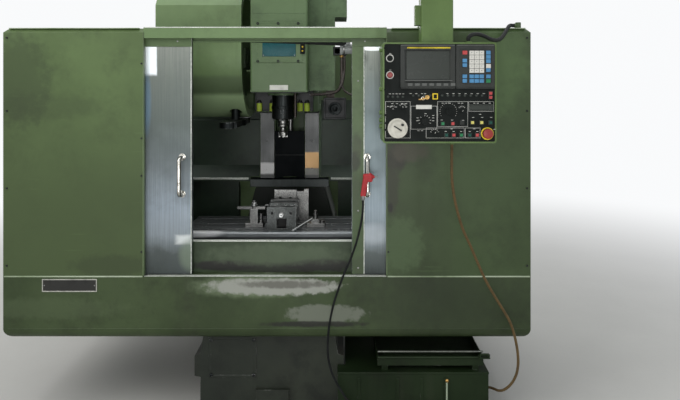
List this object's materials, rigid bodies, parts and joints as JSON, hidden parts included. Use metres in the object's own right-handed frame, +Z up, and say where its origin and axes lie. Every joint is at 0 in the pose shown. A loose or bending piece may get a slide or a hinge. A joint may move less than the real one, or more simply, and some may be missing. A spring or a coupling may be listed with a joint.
{
  "type": "cnc machining center",
  "caption": "Vertical machining center with sliding doors, T-slot table and vise, spindle head, tool magazine and operator panel.",
  "frame": {"origin": "floor level, below the middle of the machine's box", "axes": "+Z up, front faces -Y, +X to the operator's right"},
  "size_m": [2.454, 2.536, 2.6],
  "materials": {
    "painted_green": "semi-gloss enamel, worn",
    "sheet_steel": "brushed stainless",
    "machined_steel": "ground and oiled",
    "cast_iron": "painted casting",
    "chrome": "polished",
    "black_plastic": "matt",
    "black_metal": "satin",
    "white_plastic": "gloss",
    "red_plastic": "gloss",
    "screen_glass": "dark glass",
    "rubber": "matt",
    "brown_rubber": "matt",
    "lamp": "opal"
  },
  "bodies": {
    "root": {"bed": "cast_iron", "feet": "machined_steel", "column": "cast_iron", "guide_rails": "machined_steel", "rail_cover": "black_metal", "chip_pan": "painted_green", "left_guard": "painted_green", "right_guard": "painted_green", "header": "painted_green", "apron": "painted_green", "rear_guard": "painted_green", "cabinet": "painted_green", "tank": "painted_green", "pump": "painted_green", "magazine_frame": "cast_iron", "magazine_cover": "painted_green", "changer_unit": "cast_iron", "z_motor": "black_metal", "y_motor": "black_metal", "pendant_post": "painted_green", "work_lamp": "lamp"},
    "left_door": {"left_door": "sheet_steel", "left_handle": "chrome"},
    "right_door": {"right_door": "sheet_steel", "right_handle": "chrome", "air_gun": "red_plastic", "air_hose": "rubber"},
    "saddle": {"saddle": "cast_iron", "x_motor": "black_metal"},
    "way_cover": {"way_cover": "machined_steel"},
    "y_screw": {"y_screw": "machined_steel"},
    "x_screw": {"x_screw": "machined_steel"},
    "table": {"table": "machined_steel", "vise_body": "machined_steel", "table_clamps": "machined_steel", "angle_plate": "machined_steel"},
    "vise_jaw": {"vise_jaw": "machined_steel"},
    "vise_screw": {"vise_screw": "machined_steel"},
    "head": {"head": "cast_iron", "head_cover": "painted_green", "spindle_motor": "black_metal", "coolant_pipes": "machined_steel"},
    "z_screw": {"z_screw": "machined_steel"},
    "spindle": {"spindle": "machined_steel", "cutter": "machined_steel"},
    "tool_drum": {"tool_drum": "machined_steel"},
    "changer_arm": {"changer_arm": "machined_steel"},
    "cabinet_door": {"cabinet_door": "painted_green"},
    "chip_tray": {"chip_tray": "painted_green"},
    "panel": {"panel_case": "painted_green", "panel_front": "black_plastic", "screen": "screen_glass", "conduit": "rubber", "panel_hose": "brown_rubber"},
    "hand_wheel": {"hand_wheel": "white_plastic"},
    "stop_button": {"stop_button": "red_plastic"},
    "on_button": {"on_button": "white_plastic"},
    "off_button": {"off_button": "red_plastic"},
    "mode_knob": {"mode_knob": "black_plastic"},
    "feed_knob": {"feed_knob": "black_plastic"}
  },
  "joints": [
    {"name": "left_door_slide", "type": "slide", "parent": "root", "child": "left_door", "axis": [1, 0, 0], "range_m": [0, 0.375]},
    {"name": "right_door_slide", "type": "slide", "parent": "root", "child": "right_door", "axis": [-1, 0, 0], "range_m": [0, 0.375], "deforming": ["air_hose"]},
    {"name": "saddle_travel", "type": "slide", "parent": "root", "child": "saddle", "axis": [0, 1, 0], "range_m": [0, 0.4]},
    {"name": "way_cover_travel", "type": "slide", "parent": "root", "child": "way_cover", "axis": [0, 1, 0], "range_m": [0, 0.2]},
    {"name": "table_travel", "type": "slide", "parent": "saddle", "child": "table", "axis": [1, 0, 0], "range_m": [-0.3, 0.3]},
    {"name": "y_screw_turn", "type": "hinge", "parent": "root", "child": "y_screw", "pos_m": [0.018, -0.4, 0.642], "axis": [0, 1, 0], "range_deg": [-1, 14401]},
    {"name": "x_screw_turn", "type": "hinge", "parent": "saddle", "child": "x_screw", "pos_m": [0.018, -0.508, 0.721], "axis": [1, 0, 0], "range_deg": [-10801, 10801]},
    {"name": "z_screw_turn", "type": "hinge", "parent": "root", "child": "z_screw", "pos_m": [0.018, 0.19, 1.5], "axis": [0, 0, 1], "range_deg": [-10081, 4321]},
    {"name": "head_travel", "type": "slide", "parent": "root", "child": "head", "axis": [0, 0, 1], "range_m": [-0.28, 0.12]},
    {"name": "spindle_turn", "type": "hinge", "parent": "head", "child": "spindle", "pos_m": [0.018, -0.336, 1.5], "axis": [0, 0, 1], "continuous": true},
    {"name": "vise_jaw_travel", "type": "slide", "parent": "table", "child": "vise_jaw", "axis": [0, 1, 0], "range_m": [-0.046, 0.044]},
    {"name": "vise_screw_turn", "type": "hinge", "parent": "table", "child": "vise_screw", "pos_m": [0.042, -0.64, 0.94], "axis": [0, 1, 0], "range_deg": [-2800, 2800]},
    {"name": "tool_drum_turn", "type": "hinge", "parent": "root", "child": "tool_drum", "pos_m": [-0.4, -0.185, 1.758], "axis": [1, 0, 0], "continuous": true},
    {"name": "changer_arm_swing", "type": "hinge", "parent": "root", "child": "changer_arm", "pos_m": [-0.25, -0.336, 1.388], "axis": [0, 0, 1], "range_deg": [0, 40]},
    {"name": "cabinet_door_swing", "type": "hinge", "parent": "root", "child": "cabinet_door", "pos_m": [-0.634, 1.26, 0.9], "axis": [0, 0, 1], "range_deg": [0, 100]},
    {"name": "chip_tray_pull", "type": "slide", "parent": "root", "child": "chip_tray", "axis": [0, -1, 0], "range_m": [0, 0.4]},
    {"name": "panel_swing", "type": "hinge", "parent": "root", "child": "panel", "pos_m": [0.756, -1.15, 2], "axis": [0, 0, 1], "range_deg": [-20, 30], "deforming": ["conduit", "panel_hose"]},
    {"name": "hand_wheel_turn", "type": "hinge", "parent": "panel", "child": "hand_wheel", "pos_m": [0.582, -1.232, 1.41853], "axis": [0, 1, 0], "continuous": true},
    {"name": "stop_button_push", "type": "slide", "parent": "panel", "child": "stop_button", "axis": [0, 1, 0], "range_m": [0, 0.004], "stiffness_N_per_m": 600},
    {"name": "on_button_push", "type": "slide", "parent": "panel", "child": "on_button", "axis": [0, 1, 0], "range_m": [0, 0.003], "stiffness_N_per_m": 600},
    {"name": "off_button_push", "type": "slide", "parent": "panel", "child": "off_button", "axis": [0, 1, 0], "range_m": [0, 0.003], "stiffness_N_per_m": 600},
    {"name": "mode_knob_turn", "type": "hinge", "parent": "panel", "child": "mode_knob", "pos_m": [0.697, -1.232, 1.44778], "axis": [0, 1, 0], "range_deg": [-120, 120]},
    {"name": "feed_knob_turn", "type": "hinge", "parent": "panel", "child": "feed_knob", "pos_m": [0.796, -1.232, 1.48929], "axis": [0, 1, 0], "range_deg": [-135, 135]}
  ],
  "couplings": [
    {"joint": "y_screw_turn", "follows": "saddle_travel", "rad_per_m": 628.32},
    {"joint": "way_cover_travel", "follows": "saddle_travel", "ratio": 0.5},
    {"joint": "x_screw_turn", "follows": "table_travel", "rad_per_m": 628.32},
    {"joint": "z_screw_turn", "follows": "head_travel", "rad_per_m": 628.32},
    {"joint": "vise_screw_turn", "follows": "vise_jaw_travel", "rad_per_m": 1047.2}
  ]
}
